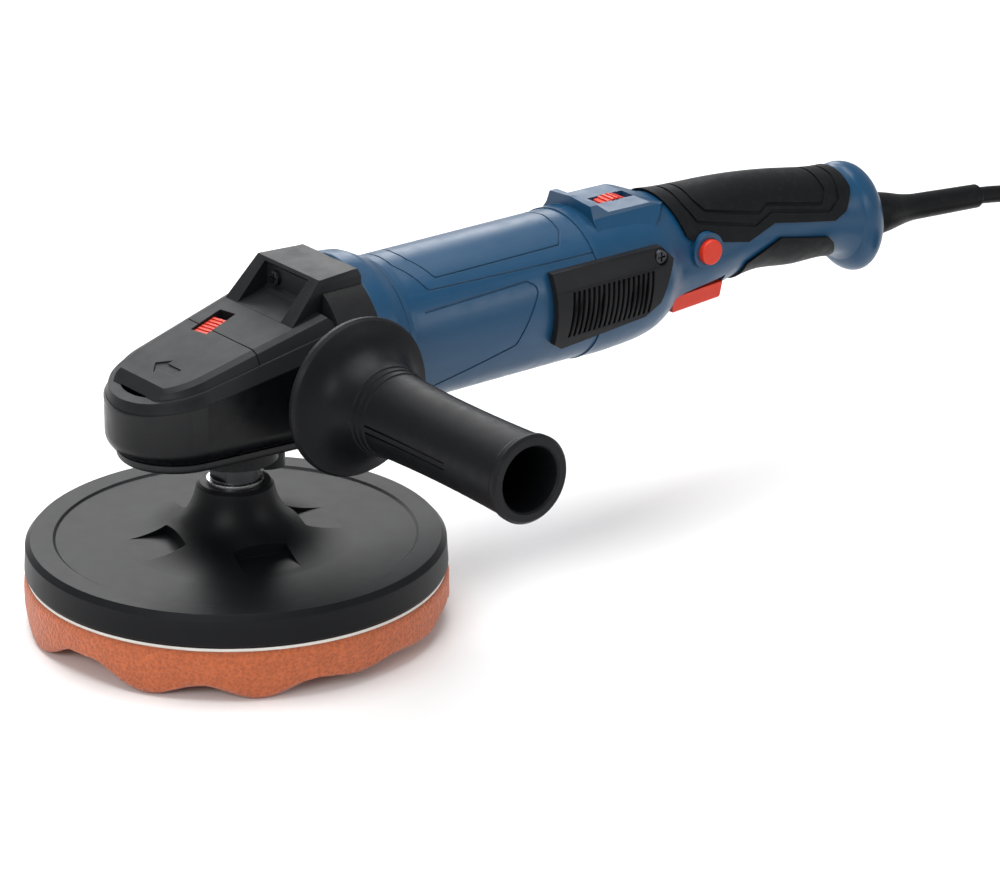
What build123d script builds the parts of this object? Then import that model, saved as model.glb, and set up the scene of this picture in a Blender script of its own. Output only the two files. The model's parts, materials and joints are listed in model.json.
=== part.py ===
from build123d import *
import os
from math import atan, cos, degrees, hypot, pi, radians, sin, tan

# Rotary polisher. Origin at the centre of the pad's working face, +X to the rear handle,
# -Y to the fitted side handle, +Z up along the output spindle. Millimetres.

# Axes and heights
MOTOR_Z = 111.5            # armature axis above the working face
PAD_R = 90.0               # 180 mm pad
FOAM_TOP = 22.0
DISC_TOP = 23.4
HUB_TOP = 62.0
HUB_R = 16.5
INSERT_R = 11.2
NOTCH_ANGLE = -14.0        # first of the four notches around the hub

# Gear train: motor pinion 8, reduction gear 24, bevel pinion 9, crown gear 27
SPUR_MODULE = 0.9
MOTOR_PINION_TEETH = 8
REDUCTION_TEETH = 24
BEVEL_MODULE = 1.5
BEVEL_PINION_TEETH = 9
CROWN_TEETH = 27
COUNTER_Z = MOTOR_Z - SPUR_MODULE * (MOTOR_PINION_TEETH + REDUCTION_TEETH) / 2

# Gear head
NOSE_X = -29.0             # centre of the round nose
CASE_R = 30.0
SIDE_FLARE = radians(5)
CASE_BOTTOM = 85.0
FLANGE_BOTTOM = 81.0
NECK_BOTTOM = 72.5
HEAD_REAR = 51.0           # face where the motor housing starts
RING_R = 40.0
JOINT_Z, JOINT_SLOPE = 118.6, 0.19      # joint between case and cover, at x = 0
BAND_Z, BAND_SLOPE = 124.8, 0.22        # top of the light band
DECK_Z, DECK_SLOPE = 130.3, 0.258       # top deck
CAP_SEAM_X = -6.0
DECK_FRONT_X = -45.5       # top of the straight bevel on the nose
BRIDGE_Z = 150.8
BRIDGE_HALF = 22.0
HANDLE_X = 22.7            # side handle axis
BOSS_FACE = 39.0
STUD_R = 7.0

# Motor
BODY_R = 33.4
BODY_WALL = 2.4
SEAM_X = 173.0             # joint between motor housing and handle shells
SHAFT_R = 4.0

# Handle sections along X: centre height, half width, half height
HANDLE_SECTIONS = [
    (173.0, 111.5, 34.0, 34.0),
    (181.5, 111.5, 34.0, 34.0),
    (190.0, 111.6, 34.0, 33.8),
    (199.0, 111.8, 33.8, 33.4),
    (207.0, 112.1, 33.0, 32.8),
    (215.0, 112.6, 30.6, 31.4),
    (222.0, 113.3, 26.8, 29.6),
    (230.0, 114.0, 24.4, 28.0),
    (245.0, 114.9, 22.8, 26.2),
    (262.0, 116.9, 20.6, 23.6),
    (280.0, 117.6, 19.6, 21.4),
    (303.0, 114.8, 19.4, 21.0),
    (327.0, 112.2, 19.2, 19.8),
    (336.0, 109.8, 20.2, 22.4),
]
CAP_SECTIONS = [
    (336.0, 109.8, 20.2, 22.4),
    (341.0, 107.2, 21.4, 25.6),
    (346.0, 105.6, 20.4, 25.4),
    (350.5, 104.6, 17.4, 22.0),
    (354.0, 104.2, 12.6, 15.6),
]
SHELL_WALL = 2.6
GRIP_LIFT = 1.4

# Cord and sleeve
SLEEVE_START = (357.0, 0.0, 104.0)
SLEEVE_LENGTH = 68.5
SLEEVE_DROOP = 0.0775      # slope of the sleeve
CORD_D = 8.0

os.makedirs("parts", exist_ok=True)

MOTOR_AXIS = Axis((0, 0, MOTOR_Z), (1, 0, 0))
HANDLE_AXIS = Axis((HANDLE_X, 0, MOTOR_Z), (0, 1, 0))


def write(piece, name):
    """Label a finished piece and write its STEP file."""
    piece.part.label = name
    export_step(piece.part, "parts/" + name + ".step")
    return piece.part


def tilted(z, slope, lift=0.0):
    """Plane through (0, 0, z) that rises towards the motor."""
    angle = atan(slope)
    normal = (-sin(angle), 0, cos(angle))
    return Plane(origin=(0, 0, z + lift), x_dir=(cos(angle), 0, sin(angle)), z_dir=normal)


def along_motor(x, z=MOTOR_Z):
    """Plane across the motor axis at x, with its own X along +Y and its own Y up."""
    return Plane(origin=(x, 0, z), x_dir=(0, 1, 0), z_dir=(1, 0, 0))


def tube(x0, x1, r_out, r_in=0.0, z=MOTOR_Z):
    """Round bar or tube along X."""
    with BuildPart() as bar:
        with BuildSketch(along_motor(x0, z)):
            Circle(r_out)
            if r_in:
                Circle(r_in, mode=Mode.SUBTRACT)
        extrude(amount=x1 - x0)
    return bar.part


def ball_bearing(plane, bore_r, outer_r, width, balls):
    """Bearing with inner race, outer race and a row of balls, starting at the plane."""
    ball_r = (outer_r - bore_r) * 0.2
    pitch_r = (outer_r + bore_r) / 2
    step = (outer_r - bore_r) * 0.3
    with BuildPart(mode=Mode.PRIVATE) as bearing:
        with BuildSketch(plane):
            Circle(outer_r)
            Circle(outer_r - step, mode=Mode.SUBTRACT)
            Circle(bore_r + step)
            Circle(bore_r, mode=Mode.SUBTRACT)
        extrude(amount=width)
        with Locations(plane.offset(width / 2)):
            with PolarLocations(pitch_r, balls):
                Sphere(ball_r * 0.96)
    return bearing.part


def coil_spring(plane, r, length, turns, wire_r):
    """Round-wire compression spring that stands on the plane."""
    with BuildPart(mode=Mode.PRIVATE) as spring:
        with BuildLine():
            path = Helix(length / turns, length, r)
        with BuildSketch(Plane(origin=path @ 0, z_dir=path % 0)):
            Circle(wire_r)
        sweep(path=path)
    return spring.part.moved(plane.location)


def head_plan(r, rear_x):
    """Plan of the head: a round nose and two sides that open towards the motor."""
    side_x = NOSE_X - r * sin(SIDE_FLARE)
    side_y = r * cos(SIDE_FLARE)
    rear_y = side_y + (rear_x - side_x) * tan(SIDE_FLARE)
    with BuildSketch() as plan:
        with BuildLine():
            ThreePointArc((side_x, side_y), (NOSE_X - r, 0), (side_x, -side_y))
            Polyline((side_x, -side_y), (rear_x, -rear_y), (rear_x, rear_y), (side_x, side_y))
        make_face()
    return plan.sketch


def handle_loft(sections, change):
    """Smooth body through oval sections, each grown by the change."""
    with BuildPart() as body:
        for x, z, half_y, half_z in sections:
            with BuildSketch(along_motor(x, z)):
                Ellipse(half_y + change, half_z + change)
        loft()
    return body.part


def side_prism(points, y0, y1):
    """Straight block whose side view is the outline and which spans y0 to y1."""
    with BuildPart() as prism:
        with BuildSketch(Plane.XZ.offset(-y0)):
            with BuildLine():
                Polyline(*points, close=True)
            make_face()
        extrude(amount=y0 - y1)
    return prism.part


# ---------------------------------------------------------------- polishing pad
with BuildPart() as foam_pad:
    Cylinder(PAD_R, FOAM_TOP, align=(Align.CENTER, Align.CENTER, Align.MIN))
write(foam_pad, "foam_pad")

with BuildPart() as hook_disc:
    with BuildSketch(Plane.XY.offset(FOAM_TOP)):
        Circle(PAD_R - 1)
    extrude(amount=DISC_TOP - FOAM_TOP)
write(hook_disc, "hook_disc")

# The rubber plate flares up into a hub, and four notches are cut around the hub's skirt.
with BuildPart() as backing_plate:
    with BuildSketch(Plane.XZ):
        with BuildLine():
            Polyline((0, 40), (0, DISC_TOP), (PAD_R - 0.8, DISC_TOP), (PAD_R, DISC_TOP + 1.6),
                     (PAD_R - 0.6, 35.4), (87.3, 37.8), (77.6, 37.7), (76.4, 36.9), (50, 37.0))
            Bezier((50, 37.0), (29, 37.4), (19, 45), (HUB_R, HUB_TOP - 1.4))
            Polyline((HUB_R, HUB_TOP - 1.4), (HUB_R - 1.4, HUB_TOP), (INSERT_R, HUB_TOP),
                     (INSERT_R, 40), (0, 40))
        make_face()
    revolve(axis=Axis.Z)
    with PolarLocations(27, 4, start_angle=NOTCH_ANGLE):
        with Locations((0, 0, 37.2)):
            Box(24, 24, 24, align=(Align.MIN, Align.CENTER, Align.MIN), mode=Mode.SUBTRACT)
write(backing_plate, "backing_plate")

with BuildPart() as hub_insert:
    with BuildSketch(Plane.XY.offset(40)):
        Circle(INSERT_R)
        Circle(STUD_R + 0.05, mode=Mode.SUBTRACT)
    extrude(amount=HUB_TOP - 40)
    with BuildSketch(Plane.XY.offset(HUB_TOP)):
        Circle(INSERT_R + 0.9)
        Circle(STUD_R + 0.05, mode=Mode.SUBTRACT)
    extrude(amount=1.3)
write(hub_insert, "hub_insert")

# ---------------------------------------------------------------- output spindle
SPINDLE_BEARING_Z = 74.0
SPINDLE_TOP_Z = 112.0
with BuildPart() as spindle:
    with BuildSketch(Plane.XZ):
        with BuildLine():
            Polyline((0, 44), (STUD_R - 1, 44), (STUD_R, 45), (STUD_R, 63.4), (10.6, 63.4),
                     (10.6, 73.4), (7.6, 73.4), (7.6, SPINDLE_BEARING_Z), (6, SPINDLE_BEARING_Z),
                     (6, 91), (4.2, 91), (4.2, SPINDLE_TOP_Z), (0, SPINDLE_TOP_Z), close=True)
        make_face()
    revolve(axis=Axis.Z)
    with Locations((8.5, 0, 64.4), (-13.5, 0, 64.4)):
        Box(5, 24, 6, align=(Align.MIN, Align.CENTER, Align.MIN), mode=Mode.SUBTRACT)
write(spindle, "spindle")

with BuildPart() as spindle_lower_bearing:
    add(ball_bearing(Plane.XY.offset(SPINDLE_BEARING_Z), 6.04, 14.0, 8.0, 8))
write(spindle_lower_bearing, "spindle_lower_bearing")

with BuildPart() as spindle_top_bearing:
    add(ball_bearing(Plane.XY.offset(105.5), 4.24, 8.0, 6.0, 8))
write(spindle_top_bearing, "spindle_top_bearing")


# ---------------------------------------------------------------- gears
def bevel_tooth(plane, width, add_h, root_h, scale):
    """Section of one bevel tooth, scaled towards the apex."""
    with BuildSketch(plane) as section:
        with BuildLine():
            Polyline((-0.5 * width * scale, -root_h * scale), (0.5 * width * scale, -root_h * scale),
                     (0.24 * width * scale, add_h * scale), (-0.24 * width * scale, add_h * scale),
                     close=True)
        make_face()
    return section.sketch


CONE = BEVEL_MODULE * hypot(BEVEL_PINION_TEETH, CROWN_TEETH) / 2     # outer cone distance
INNER = 0.68                                                     # inner end of the teeth
CONE_COS = CROWN_TEETH / hypot(BEVEL_PINION_TEETH, CROWN_TEETH)
CONE_SIN = BEVEL_PINION_TEETH / hypot(BEVEL_PINION_TEETH, CROWN_TEETH)
TOOTH_WIDTH = 0.5 * pi * BEVEL_MODULE
TOOTH_ADD = 0.62 * BEVEL_MODULE
TOOTH_ROOT = 1.05 * BEVEL_MODULE


def cone_point(share, lift):
    """Radius from the spindle and height of a point on the shared pitch line."""
    r = CONE * CONE_COS * share + lift * share * CONE_SIN
    z = COUNTER_Z - CONE * CONE_SIN * share + lift * share * CONE_COS
    return (r, z)


def tooth_plane(share, up):
    """Plane across the pitch line, with its own Y pointing up or down out of the gear."""
    r, z = cone_point(share, 0)
    return Plane(origin=(r, 0, z), x_dir=(0, up, 0), z_dir=(CONE_COS, 0, -CONE_SIN))


with BuildPart() as crown_tooth:
    add(bevel_tooth(tooth_plane(1.0, 1), TOOTH_WIDTH, TOOTH_ADD, TOOTH_ROOT + 0.4, 1.0))
    add(bevel_tooth(tooth_plane(INNER, 1), TOOTH_WIDTH, TOOTH_ADD, TOOTH_ROOT + 0.4, INNER))
    loft(ruled=True)

with BuildPart() as crown_gear:
    with BuildSketch(Plane.XZ):
        with BuildLine():
            Polyline((6.05, 82.6), (12, 82.6), (19, 84.4), (cone_point(1.0, -TOOTH_ROOT)[0], 86.6),
                     cone_point(1.0, -TOOTH_ROOT), cone_point(INNER, -TOOTH_ROOT),
                     (9, cone_point(INNER, -TOOTH_ROOT)[1]), (6.05, 90.8), close=True)
        make_face()
    revolve(axis=Axis.Z)
    with PolarLocations(0, CROWN_TEETH):
        add(crown_tooth.part)
write(crown_gear, "crown_gear")

with BuildPart() as pinion_tooth:
    add(bevel_tooth(tooth_plane(1.0, -1), TOOTH_WIDTH, TOOTH_ADD, TOOTH_ROOT + 0.4, 1.0))
    add(bevel_tooth(tooth_plane(INNER, -1), TOOTH_WIDTH, TOOTH_ADD, TOOTH_ROOT + 0.4, INNER))
    loft(ruled=True)

PINION_BACK = CONE * CONE_COS
PINION_FRONT = PINION_BACK * INNER
PINION_ROOT_R = CONE * CONE_SIN - TOOTH_ROOT * CONE_COS
COUNTER_BEARING_X = 24.0
GEAR_X0, GEAR_X1 = 35.0, 43.0
COUNTER_REAR_X = 47.5
with BuildPart() as pinion_shaft:
    with BuildSketch(Plane.XZ):
        with BuildLine():
            Polyline((PINION_FRONT, COUNTER_Z), (PINION_FRONT, COUNTER_Z + PINION_ROOT_R * INNER),
                     (PINION_BACK, COUNTER_Z + PINION_ROOT_R), (COUNTER_BEARING_X - 0.4, COUNTER_Z + 5),
                     (COUNTER_BEARING_X - 0.4, COUNTER_Z + 4), (COUNTER_REAR_X - 1, COUNTER_Z + 4),
                     (COUNTER_REAR_X - 1, COUNTER_Z + 3), (53, COUNTER_Z + 3), (53, COUNTER_Z),
                     close=True)
        make_face()
    revolve(axis=Axis((0, 0, COUNTER_Z), (1, 0, 0)))
    for tooth in range(BEVEL_PINION_TEETH):
        turn = (tooth + 0.5) * 360 / BEVEL_PINION_TEETH
        add(pinion_tooth.part.rotate(Axis((0, 0, COUNTER_Z), (1, 0, 0)), turn))
write(pinion_shaft, "pinion_shaft")


def spur_gear(teeth, x0, x1, z, first_angle, bore_r):
    """Straight-toothed gear about an axis along X, first_angle measured from +Y."""
    pitch_r = SPUR_MODULE * teeth / 2
    root_r = pitch_r - 1.05 * SPUR_MODULE
    tip_r = pitch_r + 0.62 * SPUR_MODULE
    half_root = 0.25 * pi * SPUR_MODULE
    half_tip = 0.11 * pi * SPUR_MODULE
    with BuildPart() as gear:
        with BuildSketch(along_motor(x0, z)):
            Circle(root_r)
            with PolarLocations(0, teeth, start_angle=first_angle):
                Polygon((root_r - 0.3, -half_root), (tip_r, -half_tip), (tip_r, half_tip),
                        (root_r - 0.3, half_root), align=None)
            if bore_r:
                Circle(bore_r, mode=Mode.SUBTRACT)
        extrude(amount=x1 - x0)
    return gear.part


with BuildPart() as reduction_gear:
    add(spur_gear(REDUCTION_TEETH, GEAR_X0, GEAR_X1, COUNTER_Z, 90, 4.0))
write(reduction_gear, "reduction_gear")

with BuildPart() as counter_front_bearing:
    add(ball_bearing(along_motor(COUNTER_BEARING_X, COUNTER_Z), 4.04, 9.5, 6.0, 8))
write(counter_front_bearing, "counter_front_bearing")

with BuildPart() as counter_rear_bearing:
    add(ball_bearing(along_motor(COUNTER_REAR_X, COUNTER_Z), 3.04, 6.5, 5.0, 7))
write(counter_rear_bearing, "counter_rear_bearing")

# ---------------------------------------------------------------- armature
with BuildPart() as armature_shaft:
    add(tube(45.5, 181.0, SHAFT_R))
    add(spur_gear(MOTOR_PINION_TEETH, 35.0, 46.0, MOTOR_Z, 90 + 180 / MOTOR_PINION_TEETH, 0))
write(armature_shaft, "armature_shaft")

ARMATURE_BEARING_X = 55.5
with BuildPart() as armature_front_bearing:
    add(ball_bearing(along_motor(ARMATURE_BEARING_X), 4.04, 11.0, 6.5, 8))
write(armature_front_bearing, "armature_front_bearing")

REAR_BEARING_X = 172.0
with BuildPart() as armature_rear_bearing:
    add(ball_bearing(along_motor(REAR_BEARING_X), 4.04, 9.5, 6.5, 8))
write(armature_rear_bearing, "armature_rear_bearing")

FAN_BLADES = 11
with BuildPart() as cooling_fan:
    add(tube(66, 68, 27.5, SHAFT_R))
    add(tube(66, 78, 9, SHAFT_R))
    with BuildSketch(along_motor(68)):
        with PolarLocations(8.5, FAN_BLADES):
            Rectangle(19, 1.6, rotation=18, align=(Align.MIN, Align.CENTER))
    extrude(amount=8)
write(cooling_fan, "cooling_fan")

CORE_X0, CORE_X1 = 96.0, 140.0
SLOTS = 12
with BuildPart() as armature_core:
    with BuildSketch(along_motor(CORE_X0)):
        Circle(16.5)
        Circle(SHAFT_R, mode=Mode.SUBTRACT)
        with PolarLocations(13.2, SLOTS):
            SlotOverall(6.4, 4.2, mode=Mode.SUBTRACT)
    extrude(amount=CORE_X1 - CORE_X0)
write(armature_core, "armature_core")

with BuildPart() as armature_windings:
    with BuildSketch(along_motor(CORE_X0)):
        with PolarLocations(13.2, SLOTS):
            SlotOverall(6.2, 4.0)
    extrude(amount=CORE_X1 - CORE_X0)
    for x0, x1 in ((CORE_X0 - 8, CORE_X0), (CORE_X1, CORE_X1 + 9)):
        add(tube(x0, x1, 15.6, SHAFT_R + 0.6))
write(armature_windings, "armature_windings")

COMMUTATOR_X0, COMMUTATOR_X1 = 151.0, 166.0
with BuildPart() as commutator:
    add(tube(COMMUTATOR_X0, COMMUTATOR_X1, 10.5, SHAFT_R))
    add(tube(COMMUTATOR_X0, COMMUTATOR_X0 + 2, 11.6, SHAFT_R))
    with BuildSketch(along_motor(COMMUTATOR_X0)):
        with PolarLocations(10.9, 24):
            Rectangle(2.4, 0.35, mode=Mode.ADD)
    extrude(amount=COMMUTATOR_X1 - COMMUTATOR_X0, mode=Mode.SUBTRACT)
write(commutator, "commutator")

# ---------------------------------------------------------------- stator and brushes
STATOR_R = 30.9
with BuildPart() as stator_core:
    with BuildSketch(along_motor(CORE_X0 - 2)):
        Circle(STATOR_R)
        Circle(17.3, mode=Mode.SUBTRACT)
        with Locations((0, 21.8), (0, -21.8)):
            Rectangle(30, 6.2, mode=Mode.SUBTRACT)
    extrude(amount=CORE_X1 - CORE_X0 + 4)
write(stator_core, "stator_core")

with BuildPart() as field_windings:
    for side in (1, -1):
        with BuildSketch(along_motor(CORE_X0 - 10)):
            with Locations((0, 21.8 * side)):
                Rectangle(29.4, 5.6)
        extrude(amount=CORE_X1 - CORE_X0 + 20)
    fillet(field_windings.edges().filter_by(Axis.X), 1.6)
write(field_windings, "field_windings")

with BuildPart() as air_baffle:
    add(tube(79.5, 84.0, BODY_R - BODY_WALL - 0.1, 19.0))
write(air_baffle, "air_baffle")

BRUSH_X = 158.5
with BuildPart() as brush_holders:
    for side in (1, -1):
        with BuildSketch(Plane.XZ.offset(-13.0 * side)):
            with Locations((BRUSH_X, MOTOR_Z)):
                Rectangle(10, 8.4)
                Rectangle(7.04, 5.44, mode=Mode.SUBTRACT)
        extrude(amount=-16.0 * side)
write(brush_holders, "brush_holders")

with BuildPart() as carbon_brushes:
    for side in (1, -1):
        with BuildSketch(Plane.XZ.offset(-10.6 * side)):
            with Locations((BRUSH_X, MOTOR_Z)):
                Rectangle(7.0, 5.4)
        extrude(amount=-11.0 * side)
write(carbon_brushes, "carbon_brushes")

with BuildPart() as brush_springs:
    for side in (1, -1):
        seat = Plane(origin=(BRUSH_X, 22.2 * side, MOTOR_Z), z_dir=(0, side, 0))
        add(coil_spring(seat, 1.8, 6.6, 5, 0.3))
write(brush_springs, "brush_springs")


# ---------------------------------------------------------------- gear head castings
CASE_WALL = 3.2
LOCK_PIN_X = -17.0
SCREW_SPOTS = [(-40, 13), (-40, -13), (14, 25), (14, -25)]
with BuildPart() as gear_case:
    with BuildSketch(Plane.XY.offset(CASE_BOTTOM)):
        add(head_plan(CASE_R, 40))
    extrude(amount=50)
    rim = gear_case.faces().sort_by(Axis.Z)[0].edges().filter_by_position(Axis.X, -60, 39)
    fillet(rim, 8)
    split(bisect_by=tilted(JOINT_Z, JOINT_SLOPE), keep=Keep.BOTTOM)
    add(tube(31, HEAD_REAR, RING_R))
    with BuildSketch(Plane.XY.offset(CASE_BOTTOM + CASE_WALL)):
        add(head_plan(CASE_R - CASE_WALL, 30.9))
    extrude(amount=50, mode=Mode.SUBTRACT)
    with Locations((30, 0, CASE_BOTTOM + CASE_WALL)):
        Box(6, 62, 33, align=(Align.MIN, Align.CENTER, Align.MIN), mode=Mode.SUBTRACT)
        Box(6, 34, 52, align=(Align.MIN, Align.CENTER, Align.MIN), mode=Mode.SUBTRACT)
    add(tube(34.2, HEAD_REAR, 36.5), mode=Mode.SUBTRACT)
    with Locations((29, 0, 140)):
        Box(24, 2 * BRIDGE_HALF + 0.3, 20, align=(Align.MIN, Align.CENTER, Align.MIN),
            mode=Mode.SUBTRACT)
    # side handle bosses, left and right
    for side in (1, -1):
        with BuildSketch(Plane.XZ.offset(-side * 27)):
            with Locations((HANDLE_X, MOTOR_Z)):
                Circle(12.5)
        extrude(amount=-side * (BOSS_FACE - 27))
    # seats for the spindle's top bearing and the pinion shaft's front bearing
    with Locations((0, 0, 105.5)):
        Box(20, 62, 6.5, align=(Align.CENTER, Align.CENTER, Align.MIN))
    with Locations((0, 0, 100)):
        Cylinder(8.03, 20, align=(Align.CENTER, Align.CENTER, Align.MIN), mode=Mode.SUBTRACT)
    with Locations((COUNTER_BEARING_X, 0, 86)):
        Box(6, 67, 24, align=(Align.MIN, Align.CENTER, Align.MIN))
    add(tube(23, 31, 9.53, z=COUNTER_Z), mode=Mode.SUBTRACT)
    for side in (1, -1):
        with BuildSketch(Plane.XZ.offset(-side * 28.5)):
            with Locations((HANDLE_X, MOTOR_Z)):
                Circle(STUD_R)
        extrude(amount=-side * 12, mode=Mode.SUBTRACT)
        with BuildSketch(Plane.XZ.offset(-side * BOSS_FACE)):
            with Locations((HANDLE_X, MOTOR_Z)):
                Circle(13.6)
        extrude(amount=-side * 3, mode=Mode.SUBTRACT)
    # guide of the spindle lock pin
    with Locations((LOCK_PIN_X, 0, 99)):
        Box(12, 59, 4.5, align=(Align.CENTER, Align.CENTER, Align.MIN))
        Cylinder(2.45, 10, mode=Mode.SUBTRACT)
    # floor opening for the crown gear, and the screw posts
    with Locations((0, 0, 80)):
        Cylinder(22.6, 9, align=(Align.CENTER, Align.CENTER, Align.MIN), mode=Mode.SUBTRACT)
    with Locations(*[(x, y, CASE_BOTTOM) for x, y in SCREW_SPOTS]):
        Cylinder(4.4, 12, align=(Align.CENTER, Align.CENTER, Align.MIN))
        Cylinder(2.05, 11, align=(Align.CENTER, Align.CENTER, Align.MIN), mode=Mode.SUBTRACT)
write(gear_case, "gear_case")

with BuildPart() as bearing_flange:
    with BuildSketch(Plane.XY.offset(FLANGE_BOTTOM)):
        add(head_plan(CASE_R - 4.6, 22))
    extrude(amount=CASE_BOTTOM - FLANGE_BOTTOM)
    fillet(bearing_flange.faces().sort_by(Axis.Z)[0].edges(), 2.4)
    with Locations((0, 0, NECK_BOTTOM)):
        Cylinder(18.5, 10, align=(Align.CENTER, Align.CENTER, Align.MIN))
    with Locations((17, 0, 65)):
        Cylinder(7.5, 17, align=(Align.CENTER, Align.CENTER, Align.MIN))
    with Locations((0, 0, 60)):
        Cylinder(12.4, 30, align=(Align.CENTER, Align.CENTER, Align.MIN), mode=Mode.SUBTRACT)
    with Locations((0, 0, SPINDLE_BEARING_Z)):
        Cylinder(14.03, 12, align=(Align.CENTER, Align.CENTER, Align.MIN), mode=Mode.SUBTRACT)
    with Locations((0, 0, 82.4)):
        Cylinder(21.6, 4, align=(Align.CENTER, Align.CENTER, Align.MIN), mode=Mode.SUBTRACT)
    with Locations(*[Location((x, y, FLANGE_BOTTOM), (180, 0, 0)) for x, y in SCREW_SPOTS]):
        CounterBoreHole(2.2, 3.7, 2.4, depth=20)
write(bearing_flange, "bearing_flange")


def round_screws(places, head_r, head_h, shank_r, shank_l):
    """Screws with a cross slot, each on a plane at the head's seat that faces out of the head."""
    with BuildPart() as screws:
        for place in places:
            with BuildSketch(place):
                Circle(head_r)
            extrude(amount=head_h, taper=8)
            with BuildSketch(place):
                Circle(shank_r)
            extrude(amount=-shank_l)
            with BuildSketch(place.offset(head_h)):
                Rectangle(head_r * 1.3, head_r * 0.28)
                Rectangle(head_r * 0.28, head_r * 1.3)
            extrude(amount=-head_h * 0.55, mode=Mode.SUBTRACT)
    return screws.part



# ---------------------------------------------------------------- head cover
RAMP_FOOT = (13.5, 133.6)
RAMP_TOP = (29.5, BRIDGE_Z)
POCKET = [(8, 132.45), (26.6, 137.3), (29.7, 139.2), (29.7, 148.2), (27, 150.9), (8, 150.9)]
POCKET_WALL_X = 29.7
POCKET_SCREW = (9.0, 143.4)

with BuildPart() as cover_band:
    with BuildSketch(tilted(JOINT_Z, JOINT_SLOPE)):
        add(head_plan(CASE_R, 32))
    extrude(amount=18, taper=24)
    split(bisect_by=tilted(BAND_Z, BAND_SLOPE), keep=Keep.BOTTOM)

with BuildPart() as cover_panel:
    with BuildSketch(tilted(BAND_Z, BAND_SLOPE)):
        add(head_plan(CASE_R - 3.4, 34))
    extrude(amount=14, taper=33)
    split(bisect_by=tilted(DECK_Z, DECK_SLOPE), keep=Keep.BOTTOM)
    split(bisect_by=Plane(origin=(DECK_FRONT_X, 0, DECK_Z + DECK_FRONT_X * DECK_SLOPE),
                          z_dir=(-0.72, 0, 0.69)),
          keep=Keep.BOTTOM)
    chamfer(cover_panel.faces().sort_by(Axis((0, 0, 0), (-DECK_SLOPE, 0, 1)))[-1].edges()
            .filter_by_position(Axis.X, DECK_FRONT_X + 1, 25), 1.5, 2.2)

with BuildPart() as cover_hollow:
    with BuildSketch(tilted(JOINT_Z, JOINT_SLOPE, -0.5)):
        add(head_plan(CASE_R - 4.2, 29))
    extrude(amount=16, taper=30)
    split(bisect_by=tilted(DECK_Z - 3.4, DECK_SLOPE), keep=Keep.BOTTOM)

with BuildPart() as bridge_block:
    with BuildSketch(Plane.XY.offset(118)):
        Polygon((6, -23.6), (13, -24.2), (30, -BRIDGE_HALF), (HEAD_REAR, -BRIDGE_HALF),
                (HEAD_REAR, BRIDGE_HALF), (30, BRIDGE_HALF), (13, 24.2), (6, 23.6), align=None)
    extrude(amount=40)
    add(side_prism([(6, 121), (6, 131.7), RAMP_FOOT, RAMP_TOP, (HEAD_REAR, BRIDGE_Z),
                    (HEAD_REAR, 121)], -40, 40), mode=Mode.INTERSECT)
    top_rim = bridge_block.faces().filter_by(Axis.Z).sort_by(Axis.Z)[-1].edges().filter_by(Axis.X)
    chamfer(top_rim, 2.4)

with BuildPart() as bridge_hollow:
    add(side_prism([(2, 110), (2, 127), (15, 127), (22.4, 127.4), (30.8, 136.4), (30.8, 110)],
                   -18.5, 18.5))
    add(tube(30.8, HEAD_REAR + 1, 36.65))
    with Locations((30.8, 0, 100)):
        Box(30, 90, 40.1, align=(Align.MIN, Align.CENTER, Align.MIN))

SLOT_ANGLE = 8.0
slot_plane = Plane(tilted(DECK_Z, DECK_SLOPE).location * Location((-1.5, 11.5, 0), (0, 0, SLOT_ANGLE)))
with BuildPart() as head_cover:
    add(cover_panel.part)
    split(bisect_by=Plane(origin=(CAP_SEAM_X + 0.25, 0, 0), z_dir=(1, 0, 0)), keep=Keep.TOP)
    add(cover_band.part)
    add(cover_hollow.part, mode=Mode.SUBTRACT)
    add(bridge_block.part)
    add(bridge_hollow.part, mode=Mode.SUBTRACT)
    add(side_prism(POCKET, -15.5, 15.5), mode=Mode.SUBTRACT)
    with Locations(slot_plane):
        Box(17.5, 9.6, 16, mode=Mode.SUBTRACT)
    with BuildSketch(along_motor(POCKET_WALL_X - 0.5, 0)):
        with Locations(POCKET_SCREW):
            Circle(2.05)
    extrude(amount=2, mode=Mode.SUBTRACT)
    for side in (1, -1):
        with BuildSketch(Plane.XZ.offset(-side * 26)):
            with Locations((HANDLE_X, MOTOR_Z)):
                Circle(12.6)
        extrude(amount=-side * 20, mode=Mode.SUBTRACT)
write(head_cover, "head_cover")

with BuildPart() as front_cap:
    add(cover_panel.part)
    split(bisect_by=Plane(origin=(CAP_SEAM_X - 0.25, 0, 0), z_dir=(1, 0, 0)), keep=Keep.BOTTOM)
    add(cover_hollow.part, mode=Mode.SUBTRACT)
    with Locations(slot_plane):
        Box(17.5, 9.6, 16, mode=Mode.SUBTRACT)
    # direction arrow sunk into the deck
    with BuildSketch(tilted(DECK_Z, DECK_SLOPE)):
        with Locations((-36, -3)):
            Polygon((-2.6, -7), (2.4, -7), (2.4, 3), (5, 3), (-0.1, 8.6), (-5.2, 3), (-2.6, 3),
                    align=None)
    extrude(amount=-0.5, mode=Mode.SUBTRACT)
write(front_cap, "front_cap")

with BuildPart() as gear_head_screws:
    seats = [Plane(origin=(x, y, FLANGE_BOTTOM + 2.4), z_dir=(0, 0, -1)) for x, y in SCREW_SPOTS]
    add(round_screws(seats, 3.5, 2.2, 2.0, 12))
    pocket_seat = Plane(origin=(POCKET_WALL_X, *POCKET_SCREW), z_dir=(-1, 0, 0))
    add(round_screws([pocket_seat], 3.3, 1.8, 2.0, 1.0))
write(gear_head_screws, "gear_head_screws")

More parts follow.
